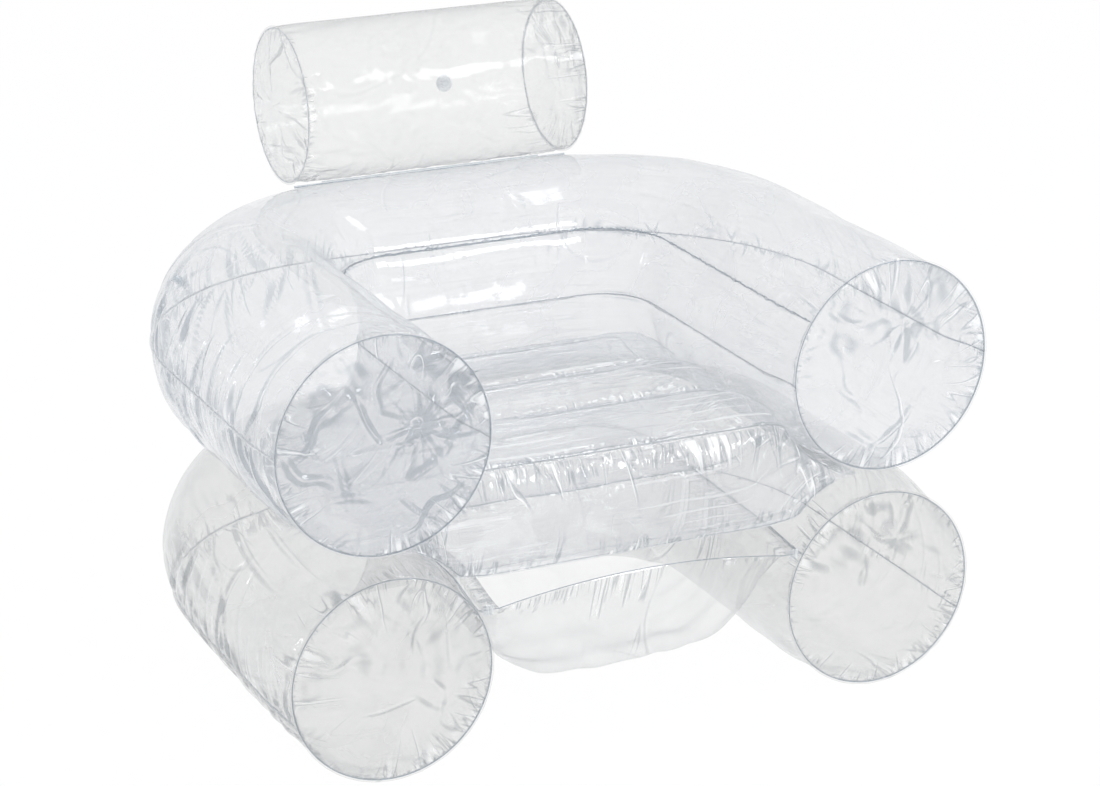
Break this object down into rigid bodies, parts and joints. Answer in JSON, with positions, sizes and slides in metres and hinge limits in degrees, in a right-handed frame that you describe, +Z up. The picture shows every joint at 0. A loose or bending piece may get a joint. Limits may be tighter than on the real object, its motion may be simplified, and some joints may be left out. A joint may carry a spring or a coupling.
{
  "type": "inflatable armchair",
  "caption": "Clear inflatable armchair: a horseshoe arm-and-back tube over a horseshoe base tube, with a channelled air seat, a loose web beneath and a roll headrest.",
  "frame": {"origin": "on the floor, under the middle of the chair's bounding box", "axes": "+Z up, the front faces -Y, +X is the chair's width, towards the right-hand arm seen from the front"},
  "size_m": [1.202, 1.0211, 0.9615],
  "materials": {
    "clear_film": "clear gloss film with a slight blue cast",
    "warm_clear_film": "clear gloss film with a slight warm cast",
    "weld_tab": "clear film pressed together in a weld",
    "valve_vinyl": "soft clear vinyl"
  },
  "bodies": {
    "chair": {"arm_ring_top_panel": "clear_film", "arm_ring_inner_band": "clear_film", "arm_ring_bottom_panel": "clear_film", "arm_front_disc_left": "clear_film", "arm_front_disc_right": "clear_film", "seat_top_panel": "clear_film", "seat_bottom_panel": "clear_film", "seat_front_panel": "clear_film", "seat_baffle_1": "clear_film", "seat_baffle_2": "clear_film", "seat_baffle_3": "clear_film", "base_ring_top_panel": "warm_clear_film", "base_ring_bottom_panel": "warm_clear_film", "base_front_disc_left": "warm_clear_film", "base_front_disc_right": "warm_clear_film", "base_web": "warm_clear_film", "web_tab_left": "weld_tab", "web_tab_right": "weld_tab", "back_weld_tab": "weld_tab", "valve_stem_arms": "valve_vinyl", "valve_flap_arms": "valve_vinyl", "valve_stem_base": "valve_vinyl", "valve_flap_base": "valve_vinyl", "valve_stem_seat": "valve_vinyl", "valve_flap_seat": "valve_vinyl"},
    "headrest": {"headrest_barrel": "warm_clear_film", "headrest_disc_left": "warm_clear_film", "headrest_disc_right": "warm_clear_film", "headrest_weld_tab": "weld_tab", "valve_stem_headrest": "valve_vinyl", "valve_flap_headrest": "valve_vinyl"},
    "arms_plug": {"valve_plug_arms": "valve_vinyl"},
    "base_plug": {"valve_plug_base": "valve_vinyl"},
    "seat_plug": {"valve_plug_seat": "valve_vinyl"},
    "headrest_plug": {"valve_plug_headrest": "valve_vinyl"}
  },
  "joints": [
    {"name": "headrest_tilt", "type": "hinge", "parent": "chair", "child": "headrest", "pos_m": [0, 0.3162, 0.70015], "axis": [1, 0, 0], "range_deg": [-15, 15], "stiffness_Nm_per_rad": 4, "springref_deg": 2.01},
    {"name": "arms_plug_pull", "type": "slide", "parent": "chair", "child": "arms_plug", "axis": [-0.7712, 0.1221, 0.6247], "range_m": [0, 0.008]},
    {"name": "base_plug_pull", "type": "slide", "parent": "chair", "child": "base_plug", "axis": [-0.3996, 0.7843, 0.4746], "range_m": [0, 0.008]},
    {"name": "seat_plug_pull", "type": "slide", "parent": "chair", "child": "seat_plug", "axis": [0, 0, -1], "range_m": [0, 0.008]},
    {"name": "headrest_plug_pull", "type": "slide", "parent": "headrest", "child": "headrest_plug", "axis": [0, 0.9755, -0.2199], "range_m": [0, 0.008]}
  ]
}
